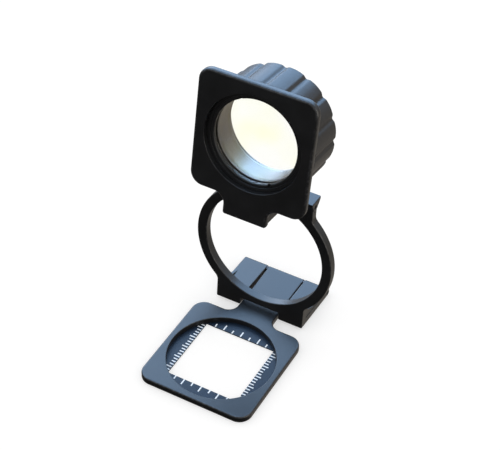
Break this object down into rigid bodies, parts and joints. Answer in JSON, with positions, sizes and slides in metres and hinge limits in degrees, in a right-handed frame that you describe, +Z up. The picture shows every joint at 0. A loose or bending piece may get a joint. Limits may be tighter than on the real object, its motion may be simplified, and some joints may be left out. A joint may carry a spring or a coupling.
{
  "type": "folding jewelers loupe",
  "caption": "Three-fold metal loupe: a flat base with a square scale window, an upright ring frame and a lens plate with a ribbed focusing knob.",
  "frame": {"origin": "underside of the base plate, at the middle of its rear shoulder, in the plane it rests on", "axes": "+Z up along the upright; +X to the right, along the hinges; +Y rearward, from the base plate towards the foot"},
  "size_m": [0.0494, 0.0667, 0.0992],
  "materials": {
    "black_enamel": "fine satin black enamel over metal",
    "knob_black": "satin black, ribbed",
    "scale_blue": "satin blue-black with white divisions",
    "steel": "blackened drawn steel",
    "brass": "turned brass",
    "nylon": "natural nylon",
    "satin_aluminium": "dark satin turned aluminium",
    "glass": "polished optical glass with a pale coating"
  },
  "bodies": {
    "base": {"base_plate": "black_enamel", "scale_plate": "scale_blue"},
    "upright": {"ring_frame": "black_enamel", "base_hinge_pin": "steel", "head_hinge_pin": "steel", "base_hinge_washer_left": "steel", "base_hinge_washer_right": "steel", "head_hinge_washer_left": "steel", "head_hinge_washer_right": "steel"},
    "head": {"lens_plate": "black_enamel", "barrel": "black_enamel", "front_stop_ring": "black_enamel", "knob_retaining_ring": "black_enamel"},
    "focus_ring": {"focus_knob": "knob_black", "drive_sleeve": "brass", "grip_screw_1": "steel", "grip_screw_2": "steel", "friction_band": "nylon"},
    "lens_carriage": {"lens_cell": "satin_aluminium", "objective_lens": "glass", "eye_lens": "glass", "lens_spacer": "satin_aluminium", "objective_retaining_ring": "satin_aluminium", "eye_retaining_ring": "satin_aluminium", "guide_screw_1": "steel", "guide_screw_2": "steel", "guide_screw_3": "steel"}
  },
  "joints": [
    {"name": "base_hinge", "type": "hinge", "parent": "upright", "child": "base", "pos_m": [0, 0.0251, 0.00135], "axis": [1, 0, 0], "range_deg": [-3.5, 266.5]},
    {"name": "head_hinge", "type": "hinge", "parent": "upright", "child": "head", "pos_m": [0, 0.00981, 0.05193], "axis": [-1, 0, 0], "range_deg": [-95.7, 174.3]},
    {"name": "focus_turn", "type": "hinge", "parent": "head", "child": "focus_ring", "pos_m": [0, -0.00292, 0.07901], "axis": [0, 0.9871, -0.1599], "range_deg": [-135, 135]},
    {"name": "focus_travel", "type": "slide", "parent": "head", "child": "lens_carriage", "axis": [0, 0.9871, -0.1599], "range_m": [-0.00121, 0.00121]}
  ],
  "couplings": [
    {"joint": "focus_travel", "follows": "focus_turn", "m_per_rad": 0.0005093}
  ]
}
